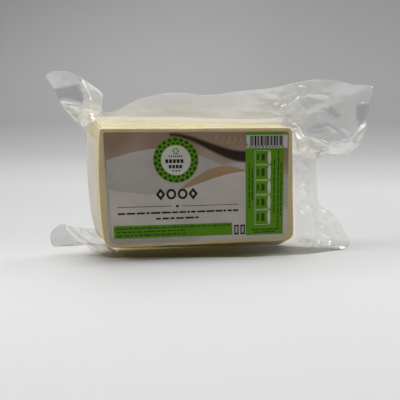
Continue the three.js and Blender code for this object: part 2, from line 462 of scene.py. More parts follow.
# Creases: start x and z, end x and z, height, half width, whiteness
filmCreases = [
    # folds that lie along the top of the block
    (-66, 92.8, -38, 91.8, -0.8, 0.5, 0.5),
    (-44, 92.6, -10, 92.6, -0.9, 0.5, 0.6),
    (-30, 94.2, 4, 92.4, -0.7, 0.4, 0.5),
    (-6, 91.2, 20, 92.6, -0.8, 0.4, 0.5),
    (14, 92.4, 52, 91.0, -0.8, 0.5, 0.5),
    # upper left ear: fold down to the corner of the block, and streaks of the lower point
    (-79, 124, -74.3, 115, -2.2, 1.2, 0.5),
    (-74.3, 115, -72.4, 107, -2.2, 1.0, 0.7),
    (-72.4, 107, -67.5, 92, -2.6, 1.0, 0.9),
    (-92.5, 108, -79, 105.5, -1.8, 1.1, 0.7),
    (-90, 103, -82, 103, -1.6, 1.2, 0.6),
    (-85, 105.3, -77, 97, 1.6, 1.6, 0.0),
    (-79.7, 93.3, -71.2, 102, -2.0, 1.0, 0.8),
    (-82, 96, -78, 101, -1.6, 1.0, 0.6),
    # upper right flap: crumples beside the block
    (68.6, 105.3, 73, 106.6, -1.8, 0.9, 0.4),
    (73, 106.6, 87.6, 115.4, -2.0, 0.9, 0.7),
    (87.6, 115.4, 95, 115.2, -2.0, 1.1, 0.7),
    (95, 115.2, 109, 114.4, -1.8, 1.0, 0.6),
    (89, 113, 104, 111, 1.6, 1.4, 0.0),
    (89.2, 115, 94.2, 107.6, -1.6, 0.9, 0.3),
    (94.2, 107.6, 87.9, 101.6, -1.6, 0.9, 0.4),
    (84, 110, 89, 104, -1.6, 0.9, 0.3),
    (87.9, 101.6, 86.4, 94.1, -1.6, 0.9, 0.5),
    (86.4, 94.1, 76.7, 95.7, -1.4, 0.9, 0.4),
    (83, 99, 88, 97, -1.4, 0.8, 0.5),
    (77, 90, 86.6, 83, -2.0, 1.1, 0.9),
    (86.6, 83.7, 98, 82.3, -1.6, 1.0, 0.6),
    (98, 82.3, 107.5, 77.3, -2.0, 1.0, 0.9),
    (105, 91.8, 113.6, 87, -1.8, 1.2, 0.4),
    (118.5, 89.5, 126, 87, -1.6, 1.1, 0.4),
    (110, 78, 128, 83, -1.6, 1.0, 0.5),
    (124, 70, 131, 79, -1.8, 1.0, 0.8),
    (124.6, 80.2, 136, 76, -1.6, 0.9, 0.6),
    (101, 70, 108, 75, -1.6, 0.9, 0.7),
    (98, 68, 112, 67, -1.6, 1.0, 0.6),
    # right side
    (77, 72, 90, 69.5, -1.4, 1.0, 0.4),
    (77, 75.5, 88, 75, 1.2, 1.2, 0.0),
    (83.7, 65.7, 89.5, 60.3, -1.4, 1.0, 0.5),
    (88, 62, 84, 60, -1.2, 0.9, 0.4),
    (91.2, 54.2, 96.3, 44.2, 1.4, 1.8, 0.0),
    (84, 48, 86.6, 42.9, -1.2, 1.0, 0.3),
    (86.6, 42.9, 94.2, 29.6, -1.4, 1.0, 0.5),
    (94.2, 29.6, 96.9, 18, 1.6, 1.2, 0.0),
    (78.7, 30.1, 86, 28.4, 1.4, 1.0, 0.0),
    (86, 28.4, 92, 25, 1.4, 1.0, 0.0),
    # lower right
    (78, 7.5, 87.2, 6.1, -1.8, 1.2, 0.8),
    (87.2, 6.1, 97, 3.2, -1.8, 1.1, 0.9),
    (97, 3.2, 108, 1, -1.6, 1.1, 0.7),
    (95, 17, 99, 4, 1.5, 1.6, 0.0),
    # lower left ear
    (-96, 12, -84, 15, 1.4, 2.0, 0.0),
    (-89, 22, -80.8, 13.4, -1.6, 1.0, 0.4),
    (-80.8, 13.4, -64.6, 1.5, -1.6, 1.0, 0.5),
    (-86, 18, -76, 10, -1.5, 1.0, 0.4),
    (-78, 19, -69, 14, -1.4, 1.0, 0.3),
]

# Parts of the film between its folds: milkiness, or painted shade that darkens the film
# where it is negative, slope along x and along z, corners
filmParts = [
    # upper left ear: clear middle darkened with painted shade, milky strip by the fin, bright lower point
    (0.26, 0.0, 0.1, ((-102.5, 127), (-92.6, 130), (-84.6, 129), (-78, 124), (-79.4, 120.5),
                      (-94.2, 117.7), (-98.5, 119))),
    (-0.12, 0.0, -0.12, ((-97.5, 117.2), (-79.2, 120.6), (-76.6, 116.5), (-77.5, 107), (-93, 108.3))),
    (0.5, 0.2, 0.15, ((-78.3, 124.5), (-73.5, 123), (-62.5, 114), (-64.5, 101), (-69, 99),
                        (-72.4, 109.8), (-75.7, 116.6))),
    (0.4, -0.2, 0.3, ((-93.5, 109), (-78, 107), (-71.2, 103), (-70.6, 99), (-77, 90), (-88, 102))),
    # upper right flap: dull hollows, one darkened with painted shade, and the bright edge that is folded
    # over
    (0.1, 0.0, -0.25, ((104, 111), (112, 113), (121, 109), (113, 107.5))),
    (0.0, 0.1, -0.3, ((103, 104), (111, 106), (121, 99), (116, 97.5), (108, 101))),
    (-0.03, 0.12, -0.15, ((131, 108), (143, 108), (138, 97), (134, 92.5), (130, 98))),
    (0.0, 0.0, -0.15, ((88, 88), (98, 93), (107, 94), (122, 86), (123, 80), (108, 78.5), (97, 83))),
    (0.5, 0.1, 0.2, ((75, 89), (86.6, 83.7), (97.9, 82.1), (107, 77.5), (104.7, 73), (98.3, 67.8),
                     (90, 69.4), (75, 71.8))),
    (0.8, -0.1, -0.65, ((137.5, 93), (135.5, 85), (130.6, 74.5), (124.5, 68.5), (109, 65.5),
                        (99.2, 66.1), (102.3, 72.9), (107.9, 77), (115.4, 78.1), (123.7, 78.8),
                        (130.1, 87.9))),
]


def creaseAt(x, z):
    # Height and whiteness that the creases give to a point of the film
    height, white = 0.0, 0.0
    fadeOut = film["creaseFade"]
    for startX, startZ, endX, endZ, rise, width, whiteness in filmCreases:
        runX, runZ = endX - startX, endZ - startZ
        length = math.hypot(runX, runZ)
        part = ((x - startX) * runX + (z - startZ) * runZ) / (length * length)
        if -fadeOut < part < 1.0 + fadeOut:
            away = abs((x - startX) * runZ - (z - startZ) * runX) / length
            if away < film["creaseReach"] * width:
                ends = fade(part, -fadeOut, fadeOut) * fade(1.0 - part, -fadeOut, fadeOut)
                near = ends * math.exp(-away / width)
                height += rise * near
                white = max(white, whiteness * near)
    return height, white


def insideDepth(x, z, outline):
    # Distance to the outline, negative outside of it
    nearest = math.inf
    inside = False
    for index, (startX, startZ) in enumerate(outline):
        endX, endZ = outline[index - 1]
        runX, runZ = endX - startX, endZ - startZ
        part = ((x - startX) * runX + (z - startZ) * runZ) / (runX * runX + runZ * runZ)
        part = min(max(part, 0.0), 1.0)
        nearest = min(nearest, math.hypot(x - startX - part * runX, z - startZ - part * runZ))
        if (startZ > z) != (endZ > z) and x < startX + runX * (z - startZ) / runZ:
            inside = not inside
    return nearest if inside else -nearest


def partAt(x, z, haze):
    # Milkiness and height that the parts of the film give to one of its points
    height = 0.0
    reachX, reachZ = film["partReach"]
    for milky, slopeX, slopeZ, outline in filmParts:
        centreX = sum(point[0] for point in outline) / len(outline)
        centreZ = sum(point[1] for point in outline) / len(outline)
        if abs(x - centreX) < reachX and abs(z - centreZ) < reachZ:
            weight = smooth(0.5 + insideDepth(x, z, outline) / film["partEdge"])
            haze = between(haze, milky, weight)
            height += weight * (slopeX * (x - centreX) + slopeZ * (z - centreZ))
    return haze, height


def whiter(haze, white):
    # A crease's whiteness over the haze, which may be negative where there is no crease
    return max(haze, white) if white > 0.02 else haze


def crumple(x, z):
    # sharp folds of three sizes, over slow waves that bend their lines
    bendHeight, bendScale = film["crumpleBend"]
    bend = noise.noise(Vector((x * bendScale, 3.1, z * bendScale))) * bendHeight
    height = 0.0
    for size, rise, layer in film["crumpleWaves"]:
        fold = noise.noise(Vector(((x + bend) / size, layer, (z - bend) / size)))
        height += rise * (0.5 - 2.2 * abs(fold))
    return height


class Strand:
    # One strand of the film, from the middle of a face over the slope to the rim. Each of
    # its points comes with its haze, cream, looseness and whey tint, which is partly painted shade.

    def __init__(self, turn, side):
        self.side = side
        self.rim, self.thick, self.along, lift, self.crumpled, self.haze = rimAt(turn)
        self.root = rootPoint(self.along)
        self.slopeEnd = self.root.lerp(self.rim, lift)
        if self.rim.z == 0.0:
            self.slopeEnd.z = max(self.slopeEnd.z, 2 * lift)
        self.reach = (self.slopeEnd - self.root).length
        self.joint = self.slopeEnd.copy()
        self.joint.y += 0.5 * side * self.thick
        self.free = 1.0 - fade(self.thick, *film["boundThickness"])
        wheyShadeAmount = between(1.0, film["leastWheyShade"], fade(self.rim.x, *film["wheyShadeEnds"]))
        self.wheyShade = (1.0 - self.free) * wheyShadeAmount * fade(self.rim.x, *film["wheyShadeStarts"])
        self.onSide = fade(self.rim.x, *film["leftSide"]) * self.free
        self.onSide *= fade(self.thick, *film["sideThickness"])
        self.edge = roundedEdge(self.along, side, 0.0, pack["edgeRound"], film["roundRings"])

    def points(self):
        return [*self.facePoints(), *self.slopePoints(), *self.loosePoints()]

    def facePoints(self):
        centre = Vector((0.0, self.edge[0].y, pack["faceMiddle"]))
        cream = film["tightCream"]
        for step in range(film["faceRings"] + 1):
            part = (step / film["faceRings"]) ** film["ringSpread"]
            yield centre.lerp(self.edge[0], part), film["tightHaze"], cream, 0.0, 0.0
        for step in range(1, film["roundRings"] + 1):
            yield self.edge[step], film["edgeHaze"], cream, 0.0, self.wheyShade * step / film["roundRings"]

    def proud(self):
        # The way out of the slope, square to it
        slope = self.joint - self.edge[-1]
        outward = Vector((self.rim.x - self.root.x, 0.0, self.rim.z - self.root.z)).normalized()
        run = max(slope.dot(outward), 0.0)
        return (outward * abs(slope.y) + Vector((0.0, self.side * run, 0.0))).normalized()

    def slopeHaze(self, part):
        haze = film["slopeHaze"] * fade(self.reach, 3.0, 15.0) * fade(part, 0.0, 0.25)
        haze *= 1.0 - film["slopeThinning"] * fade(part, 1 / 6, 1.0)
        onShort = (1.0 - fade(self.reach, 6.0, 12.0)) * self.free
        haze += film["rimShare"] * self.haze * fade(part, 0.0, 5 / 6) * onShort
        haze += film["sideHaze"] * self.onSide * fade(part, 0.0, 0.25)
        return film["leastHaze"] + haze

    def slopeCream(self, part):
        cream = between(*film["slopeCream"], part) * (1.0 - self.onSide)
        onLong = fade(self.reach, 6.0, 14.0) * fade(part, 0.0, 1 / 3)
        return cream * (1.0 - film["longSlopeCream"] * onLong)

    def slopePoints(self):
        proud = self.proud()
        alongScale, partScale = film["wrinkleScale"]
        for step in range(1, film["slopeRings"] + 1):
            part = step / film["slopeRings"]
            arch = math.sin(math.pi * part)
            place = self.edge[-1].lerp(self.joint, part)
            spot = Vector((self.along * alongScale, 2.0 * self.side, part * partScale + 4.0))
            wrinkle = max(0.0, 1.0 - 5.0 * abs(noise.noise(spot))) * arch
            place += proud * (wrinkle * film["slopeWrinkle"] * min(1.0, self.crumpled + 0.2))
            place -= proud * (min(self.reach, film["hollowReach"]) * film["hollow"] * arch)
            haze, swell = partAt(place.x, place.z, self.slopeHaze(part))
            rise, white = creaseAt(place.x, place.z)
            place -= proud * (rise + film["partOnSlope"] * swell) * smooth(self.reach / 10.0) * arch
            loose = smooth(part * self.reach / 8.0) * self.free
            yield place, whiter(haze, white), self.slopeCream(part), loose, self.wheyShade

    def loosePoints(self):
        length = (self.rim - self.slopeEnd).length
        rim = self.rim.copy()
        rim.y += 0.5 * self.side * self.thick
        calm = min(1.0, film["stiffThickness"] / self.thick)
        alongScale, partScale = film["foldScale"]
        for step in range(1, film["looseRings"] + 1):
            part = step / film["looseRings"]
            place = self.joint.lerp(rim, part)
            rise, white = creaseAt(place.x, place.z)
            haze = self.haze * between(1.3, 1.0, fade(part, 0.0, 0.2))
            haze, swell = partAt(place.x, place.z, haze)
            sway = crumple(place.x, place.z) * film["crumpleHeight"] * self.crumpled
            sway += rise + swell
            fan = noise.noise(Vector((self.along * alongScale, 7.7, part * partScale)))
            fanned = (0.4 - abs(fan) * 2.4) * film["foldHeight"] * self.crumpled
            sway += fanned * math.sin(math.pi * min(part * 1.4, 1.0))
            sway *= smooth(part * length / 6.0) * calm
            place.y += sway * between(1.0, film["rimCalm"], fade(part, 0.8, 1.0))
            place.z = max(place.z, 0.0)
            cream = film["looseCream"] * (1.0 - smooth(part * length / film["looseCreamReach"]))
            yield place, whiter(haze, white), cream, self.free, self.wheyShade


filmLayers = ("haze", "cream", "loose", "wheyShade")


def buildFilm(material):
    turns = []
    for index, key in enumerate(rimKeys):
        count = film["fewestColumns"] + round(film["crumpledColumns"] * min(key[6], 1.0))
        turns += [(index + step / count) / len(rimKeys) for step in range(count)]
    strands = [Strand(turn, -1).points() + Strand(turn, 1).points()[::-1] for turn in turns]
    mesh, values = gridMesh(strands, filmLayers)
    layers = [mesh.verts.layers.float[name] for name in filmLayers]
    for vertex, (point, *amounts) in values.items():
        vertex.co = point * millimetre
        for layer, amount in zip(layers, amounts):
            vertex[layer] = amount
    bmesh.ops.remove_doubles(mesh, verts=mesh.verts, dist=1e-6)
    made = finishObject("film", mesh, [material])
    print("film:", len(made.data.polygons), "faces")
    return made


def milkyFilm(nodes, haze, normal):
    # Milky film sends some of the light back, less where it is thin, and lets the rest shine through
    colour = nodes.tint(nodes.attribute("cream"), film["colour"], film["creamColour"])
    body = nodes.body(colour, film["milkRoughness"], normal)
    through = nodes.add("BsdfTranslucent")
    nodes.link(colour, through.inputs["Color"])
    sentBack = nodes.math("MULTIPLY", nodes.math("POWER", haze, 2.0), film["thickMilk"])
    share = nodes.math("SUBTRACT", film["glow"], sentBack, clamp=True)
    return nodes.mixed(share, body.outputs["BSDF"], through.outputs["BSDF"])


def clearFilm(nodes, haze):
    # Clear film is yellow where whey wets it, a tint that also stands in as painted shade under the block,
    # and darker as painted shade where the haze is negative
    colour = nodes.tint(nodes.attribute("wheyShade"), film["clearColour"], film["wheyShadeColour"])
    # painted shade: negative haze darkens the clear film
    shadeDimmed = nodes.add("HueSaturation")
    nodes.link(nodes.math("ADD", nodes.math("MINIMUM", haze, 0.0), 1.0), shadeDimmed.inputs["Value"])
    nodes.link(colour, shadeDimmed.inputs["Color"])
    clear = nodes.add("BsdfTransparent")
    nodes.link(shadeDimmed.outputs["Color"], clear.inputs["Color"])
    return clear.outputs["BSDF"]


def filmMaterial():
    nodes = Nodes("clearFilm")
    haze = nodes.attribute("haze")
    normal = nodes.bump(nodes.noise(160.0, 2.0), 0.25, 0.0006)
    facing = nodes.add("LayerWeight")
    facing.inputs["Blend"].default_value = 0.5
    nodes.link(normal, facing.inputs["Normal"])
    slant = facing.outputs["Facing"]

    cloud = nodes.math("MULTIPLY", nodes.math("SUBTRACT", nodes.noise(45.0, 3.0), 0.5), 0.22)
    milky = nodes.math("ADD", haze, nodes.math("MULTIPLY", cloud, haze))
    denser = nodes.math("MULTIPLY", nodes.math("POWER", slant, 2.0), film["foldedHaze"])
    milky = nodes.math("MULTIPLY", milky, nodes.math("ADD", denser, 1.0), clamp=True)
    sheet = nodes.mixed(milky, clearFilm(nodes, haze), milkyFilm(nodes, haze, normal))

    shine = nodes.add("BsdfGlossy")
    shine.inputs["Roughness"].default_value = film["roughness"]
    nodes.link(normal, shine.inputs["Normal"])
    folded = nodes.math("MULTIPLY", nodes.math("POWER", slant, 3.0), film["foldGloss"])
    strength = nodes.math("ADD", folded, film["looseGloss"])
    strength = nodes.math("MULTIPLY", strength, nodes.attribute("loose"))
    strength = nodes.math("ADD", strength, film["tightGloss"], clamp=True)
    return nodes.surface(nodes.mixed(strength, sheet, shine.outputs["BSDF"]))


# Block of tofu

tofu = {
    "gap": 0.25,
    "columns": 240,
    "faceRings": 14,
    "roundRings": 5,
    "sideRings": 10,
    "edgeRound": 0.4,
    "unevenness": 0.35,
    "dent": 0.2,
    "colour": (0.68, 0.58, 0.345),
    "paleColour": (0.73, 0.645, 0.43),
    # painted shade of the block's front face
    "frontShade": (0.91, 0.86, 0.79),
    "frontDepth": 0.7,
    "frontFade": 0.25,
    "relief": 0.0003,
    "glowDepth": (0.004, 0.0025, 0.0012),
}


def tofuStrand(column, side):
    # Points from the middle of a face over its rounded edge to the girth
    along = wholeGirth * column / tofu["columns"]
    edge = roundedEdge(along, side, tofu["gap"], tofu["edgeRound"], tofu["roundRings"])
    centre = Vector((0.0, edge[0].y, pack["faceMiddle"]))
    root = rootPoint(along, 2 * tofu["gap"])
    onFace = [centre.lerp(edge[0], step / tofu["faceRings"]) for step in range(tofu["faceRings"] + 1)]
    onSide = [edge[-1].lerp(root, step / tofu["sideRings"]) for step in range(1, tofu["sideRings"] + 1)]
    return [*onFace, *edge[1:], *onSide]


def buildTofu(material):
    strands = [tofuStrand(column, -1) + tofuStrand(column, 1)[-2::-1] for column in range(tofu["columns"])]
    mesh, values = gridMesh(strands)
    for vertex, point in values.items():
        vertex.co = point * millimetre
    bmesh.ops.remove_doubles(mesh, verts=mesh.verts, dist=1e-6)
    mesh.normal_update()
    moves = {}
    for vertex in mesh.verts:
        spot = vertex.co / millimetre
        slow = noise.noise(spot * 0.05) + 0.4 * noise.noise(spot * 0.17)
        dent = min(0.0, 0.5 - abs(slow)) * tofu["dent"]
        moves[vertex] = -vertex.normal * (abs(slow) * tofu["unevenness"] - dent) * millimetre
    for vertex, move in moves.items():
        vertex.co += move
    made = finishObject("tofuBlock", mesh, [material])
    print("tofu:", len(made.data.polygons), "faces")
    return made


def tofuMaterial():
    nodes = Nodes("tofu")
    mottle = nodes.noise(60.0, 4.0)
    colour = nodes.ramp(mottle, ((0.3, tofu["colour"]), (0.7, tofu["paleColour"])))
    # painted shade: the block's front face is darkened by frontShade
    front = (tofu["frontDepth"] - 0.5 * pack["depth"]) * millimetre
    onFront = nodes.math("SUBTRACT", front, nodes.place()["Y"])
    onFront = nodes.math("DIVIDE", onFront, tofu["frontFade"] * millimetre, clamp=True)
    shaded = nodes.add("Mix", data_type="RGBA", blend_type="MULTIPLY")
    shaded.inputs["B"].default_value = (*tofu["frontShade"], 1.0)
    nodes.link(onFront, shaded.inputs["Factor"])
    nodes.link(colour, shaded.inputs["A"])
    pores = nodes.add("TexVoronoi")
    pores.inputs["Scale"].default_value = 900.0
    nodes.link(nodes.coordinates, pores.inputs["Vector"])
    relief = nodes.math("MULTIPLY", pores.outputs["Distance"], 0.6)
    relief = nodes.math("ADD", relief, nodes.noise(1500.0, 3.0))
    body = nodes.body(shaded.outputs["Result"], 0.42, nodes.bump(relief, 0.35, tofu["relief"]))
    body.inputs["Specular IOR Level"].default_value = 0.2
    body.inputs["Subsurface Weight"].default_value = 0.25
    body.inputs["Subsurface Radius"].default_value = tofu["glowDepth"]
    body.inputs["Subsurface Scale"].default_value = 1.0
    return nodes.surface(body.outputs["BSDF"])


# Label, with its print as thin layers of ink shapes

label = {
    "left": -64.5,
    "right": 65.5,
    "low": 12.0,
    "high": 88.0,
    "topCorner": 1.0,
    "lowCorner": 5.0,
    "skew": {"lean": 0.0215, "taper": 0.025, "pull": 0.0},
    "paperThick": 0.18,
    "inkStep": 0.03,
    "middle": 50.0,
    "bumps": 0.0001,
}

# Places of the printed shapes, from the label's own left to right and from the floor up
printed = {
    "pictureRight": 33.6,
    "badge": (-16.2, 69.0),
    "badgeRadius": 15.7,
    "badgeHole": 10.3,
    "badgeSpots": 22,
    "titleHeight": 45.6,
    "titleShifts": (-11.5, -4.0, 4.0, 11.5),
    "ruleHeight": 37.2,
    "column": (33.7, 14.6, 62.0, 87.9),
    "barField": (34.2, 76.6, 64.7, 85.9),
    "barRun": (37.0, 62.4),
    "barHeights": (78.2, 85.4),
    "barWidths": (0.5, 0.9, 0.4, 1.3),
    "barGaps": (0.35, 0.3, 0.6),
    "cellEdges": (21.6, 32.7, 43.5, 53.8, 64.9, 75.2),
    "cellSides": (40.5, 50.4),
}

inkColours = {
    "pale": (0.40, 0.37, 0.345),
    "paler": (0.52, 0.475, 0.43),
    "beige": (0.335, 0.225, 0.125),
    "brown": (0.13, 0.085, 0.055),
    "darkBrown": (0.025, 0.017, 0.011),
    "white": (0.55, 0.53, 0.49),
    "green": (0.098, 0.25, 0.006),
    "darkGreen": (0.018, 0.05, 0.006),
    "black": (0.016, 0.014, 0.012),
}

# Soft fields of the picture: height over the label from its foot, as a share, and colour
pictureFields = (
    (0.0, (0.38, 0.35, 0.32)),
    (0.16, (0.54, 0.49, 0.44)),
    (0.36, (0.55, 0.50, 0.455)),
    (0.45, (0.42, 0.385, 0.35)),
    (0.62, (0.43, 0.40, 0.375)),
    (0.72, (0.33, 0.27, 0.22)),
    (0.85, (0.30, 0.215, 0.155)),
    (1.0, (0.25, 0.175, 0.12)),
)


def printedSurface(nodes, colour):
    normal = nodes.bump(nodes.noise(2200.0, 2.0), 0.15, label["bumps"])
    body = nodes.body(colour, 0.45, normal)
    body.inputs["Specular IOR Level"].default_value = 0.12
    return nodes.surface(body.outputs["BSDF"])


def pictureMaterial():
    nodes = Nodes("labelPicture")
    tall = (label["high"] - label["low"]) * millimetre
    level = nodes.math("SUBTRACT", nodes.place()["Z"], label["low"] * millimetre)
    shift = nodes.math("MULTIPLY", nodes.math("SUBTRACT", nodes.noise(26.0, 1.0), 0.5), 1.1)
    field = nodes.math("ADD", nodes.math("DIVIDE", level, tall), shift, clamp=True)
    return printedSurface(nodes, nodes.ramp(field, pictureFields))


def inkMaterial(name, colour):
    nodes = Nodes("label" + name[0].upper() + name[1:])
    darker = tuple(channel * 0.86 for channel in colour)
    lighter = tuple(min(channel * 1.12, 1.0) for channel in colour)
    return printedSurface(nodes, nodes.ramp(nodes.noise(35.0, 3.0), ((0.3, darker), (0.7, lighter))))


inkNames = ["picture", *inkColours]


def boxOutline(left, low, right, high):
    return [(left, low), (right, low), (right, high), (left, high)]


def roundOutline(x, z, radiusX, radiusZ, count=48):
    angles = [2 * math.pi * step / count for step in range(count)]
    return [(x + radiusX * math.cos(angle), z + radiusZ * math.sin(angle)) for angle in angles]


def diamondOutline(x, z, halfLength, halfWidth, degrees=0.0):
    turn = math.radians(degrees)
    along = Vector((math.cos(turn), math.sin(turn))) * halfLength
    across = Vector((-math.sin(turn), math.cos(turn))) * halfWidth
    middle = Vector((x, z))
    return [tuple(middle + step) for step in (-across, along, across, -along)]


def leafOutline(x, z, length, width, degrees, count=9):
    # A pointed leaf from its stalk end
    turn = math.radians(degrees)
    sides = []
    for side in (1, -1):
        steps = range(count) if side == 1 else range(count, 0, -1)
        for step in steps:
            part = step / count
            out = side * 0.5 * width * math.sin(math.pi * part) ** 0.8 if 0 < step < count else 0.0
            sides.append((part * length, out))
    return [
        (x + a * math.cos(turn) - b * math.sin(turn), z + a * math.sin(turn) + b * math.cos(turn))
        for a, b in sides]


def labelPoint(x, depth, z):
    place = skewed(x, z - label["middle"], label["skew"])
    return Vector((place, depth, z)) * millimetre


def addInk(mesh, outline, layer, ink):
    # A closed thin plate of the outline, standing on the layers under it
    back = -0.5 * pack["depth"] - label["paperThick"]
    depth = back - layer * label["inkStep"]
    corners = [mesh.verts.new(labelPoint(x, depth, z)) for x, z in outline]
    face = mesh.faces.new(corners)
    face.material_index = inkNames.index(ink)
    pushed = bmesh.ops.extrude_face_region(mesh, geom=[face], use_keep_orig=True)
    made = [item for item in pushed["geom"] if isinstance(item, bmesh.types.BMVert)]
    bmesh.ops.translate(mesh, verts=made, vec=(0.0, layer * label["inkStep"] * millimetre, 0.0))
    for item in pushed["geom"]:
        if isinstance(item, bmesh.types.BMFace):
            item.material_index = inkNames.index(ink)


def printRow(ink, draw, start, end, middle, height, name, layer, upright=False, wordLengths=(2.0, 7.0)):
    # A row of short bars in the place of a line of small print
    while start < end - 1.0:
        stop = min(start + draw.uniform(*wordLengths), end)
        low, high = middle - 0.5 * height, middle + 0.5 * height
        if upright:
            ink(boxOutline(low, start, high, stop), layer, name)
        else:
            ink(boxOutline(start, low, stop, high), layer, name)
        start = stop + draw.uniform(0.7, 1.1)


def labelOutline():
    left, right, low, high = (label[side] for side in ("left", "right", "low", "high"))
    corners = (
        (right - label["lowCorner"], low + label["lowCorner"], label["lowCorner"], -90),
        (right - label["topCorner"], high - label["topCorner"], label["topCorner"], 0),
        (left + label["topCorner"], high - label["topCorner"], label["topCorner"], 90),
        (left + label["lowCorner"], low + label["lowCorner"], label["lowCorner"], 180),
    )
    outline = []
    for x, z, radius, first in corners:
        for step in range(7):
            angle = math.radians(first + 15 * step)
            outline.append((x + radius * math.cos(angle), z + radius * math.sin(angle)))
    return outline


def drawPicture(ink):
    # three hills, one behind the other: start, foot, slope, height of the crest, its swing,
    # the length of its wave and where that starts
    right = printed["pictureRight"]
    hills = (
        (-63.9, 17.5, -0.10, 64.0, 11.0, 27.0, -62.0, "pale"),
        (-12.0, 30.0, 0.14, 54.0, 8.0, 15.0, -9.0, "beige"),
        (-63.0, 17.0, 0.07, 53.0, -5.0, 19.0, -58.0, "paler"),
    )
    for layer, (start, foot, slope, crest, swing, wave, first, name) in enumerate(hills, 1):
        places = [between(start, right, step / 30) for step in range(31)]
        line = [(x, crest + slope * x + swing * math.sin((x - first) / wave)) for x in places]
        ink([(right, foot), *reversed(line), (start, foot)], layer, name)
    # dark sweep towards the upper right, with a softer edge
    for grow, layer, name in ((1.1, 4, "brown"), (0.0, 5, "darkBrown")):
        parts = [step / 14 for step in range(15)]
        upper = [(between(-20, right, part), 87.0 - 13.0 * smooth(part)) for part in parts]
        lower = [(x, z - 0.8 - 5.5 * smooth(part) - grow) for (x, z), part in zip(upper, parts)]
        ink([*lower, *[(x, min(z + grow, 87.9)) for x, z in reversed(upper)]], layer, name)
    # two rows of leaves above it
    for index in range(5):
        ink(leafOutline(12 + 4.4 * index, 81.5 - 0.6 * index, 5.6, 2.8, 70), 6, "beige")
        ink(leafOutline(14 + 4.4 * index, 80.2 - 0.6 * index, 4.6, 2.4, 25), 7, "beige")


def drawBadge(ink):
    x, z = printed["badge"]
    radius = printed["badgeRadius"]
    hole = printed["badgeHole"]
    ink(roundOutline(x, z, radius, radius, 96), 5, "green")
    # two rings of diamonds
    for row, part, size in ((0, 0.27, 1.15), (1, 0.73, 1.45)):
        for index in range(printed["badgeSpots"]):
            degrees = 360 / printed["badgeSpots"] * (index + 0.5 * row)
            away = between(hole, radius, part)
            spotX = x + away * math.cos(math.radians(degrees))
            spotZ = z + away * math.sin(math.radians(degrees))
            ink(diamondOutline(spotX, spotZ, size, size * 1.15, degrees), 6, "darkGreen")
    ink(roundOutline(x, z, hole, hole, 64), 6, "white")
    # rosette
    for index in range(6):
        angle = math.pi * index / 3
        ink(roundOutline(x + 1.7 * math.cos(angle), z + 6.2 + 1.7 * math.sin(angle), 0.7, 0.7, 12),
            7, "green")
    # rows of blocks: foot, height and half the length of the row
    for foot, tall, half in ((2.2, 1.1, 5.0), (-1.9, 2.6, 7.4), (-5.6, 2.4, 5.2)):
        wide = tall * 0.8
        place = x - half
        while place < x + half - wide:
            ink(boxOutline(place, z + foot, place + wide, z + foot + tall), 7, "black")
            place += wide + 0.55
    for shift in (-2.2, 0.0, 2.2):
        ink(roundOutline(x + shift, z - 7.3, 0.6, 0.6, 12), 7, "black")


def drawTitle(ink, draw):
    # an ornament of two rings between two diamonds, a ruled line and two rows of print
    x = printed["badge"][0]
    z = printed["titleHeight"]
    shifts = printed["titleShifts"]
    for shift in (shifts[0], shifts[-1]):
        ink(diamondOutline(x + shift, z, 3.4, 4.2), 4, "black")
        ink(diamondOutline(x + shift, z, 1.2, 1.6), 5, "paler")
    for shift in shifts[1:-1]:
        ink(roundOutline(x + shift, z, 3.5, 3.7, 32), 4, "black")
        ink(roundOutline(x + shift, z, 1.9, 2.1, 32), 5, "paler")
    rule = printed["ruleHeight"]
    ink(boxOutline(-58.3, rule, -20.0, rule + 0.4), 4, "black")
    ink(boxOutline(-12.5, rule - 0.3, 28.2, rule + 0.1), 4, "black")
    ink(roundOutline(x, rule, 1.3, 0.8, 12), 4, "black")
    printRow(ink, draw, -58.0, 28.0, 32.9, 1.3, "black", 4)
    printRow(ink, draw, -31.6, -1.0, 28.8, 1.3, "black", 4)


def drawStrip(ink, draw):
    # green strip with small print, and two upright blocks at its end
    ink([(-61.4, 15.9), (23.6, 15.4), (23.6, 24.2), (-61.4, 24.7)], 4, "green")
    for right, middle in ((22.0, 22.6), (-11.0, 20.1), (-11.0, 17.7)):
        printRow(ink, draw, -59.5, right, middle, 0.9, "darkGreen", 5, wordLengths=(1.5, 5.0))
    for left in (25.0, 29.6):
        ink(boxOutline(left, 15.4, left + 3.4, 22.4), 4, "black")
        ink(boxOutline(left + 0.9, 16.6, left + 2.5, 21.2), 5, "pale")


def drawBars(ink, draw):
    ink(boxOutline(*printed["barField"]), 6, "white")
    low, high = printed["barHeights"]
    place, end = printed["barRun"]
    index = 0
    while place < end:
        wide = printed["barWidths"][index % 4]
        if place + wide < end:
            ink(boxOutline(place, low, place + wide, high), 7, "black")
        place += wide + printed["barGaps"][index % 3]
        index += 1
    printRow(ink, draw, 36.0, 62.5, 77.4, 0.8, "black", 7, wordLengths=(1.0, 2.0))


def drawCells(ink):
    # blank cells one over the other, each with two blocks and a white bulge at its right
    left, right = printed["cellSides"]
    edges = printed["cellEdges"]
    for low, high in zip(edges, edges[1:]):
        ink(boxOutline(left, low + 0.2, right, low + 0.5), 6, "white")
        ink(boxOutline(left, high - 0.5, right, high - 0.2), 6, "white")
        ink(boxOutline(left, low + 0.5, left + 0.3, high - 0.5), 6, "white")
        ink(boxOutline(left + 1.7, low + 3.2, left + 2.9, high - 3.0), 6, "darkGreen")
        ink(boxOutline(left + 4.9, low + 2.8, left + 7.3, high - 2.8), 6, "darkGreen")
        ink(roundOutline(right + 0.8, 0.5 * (low + high), 1.2, 0.48 * (high - low), 24), 7, "white")


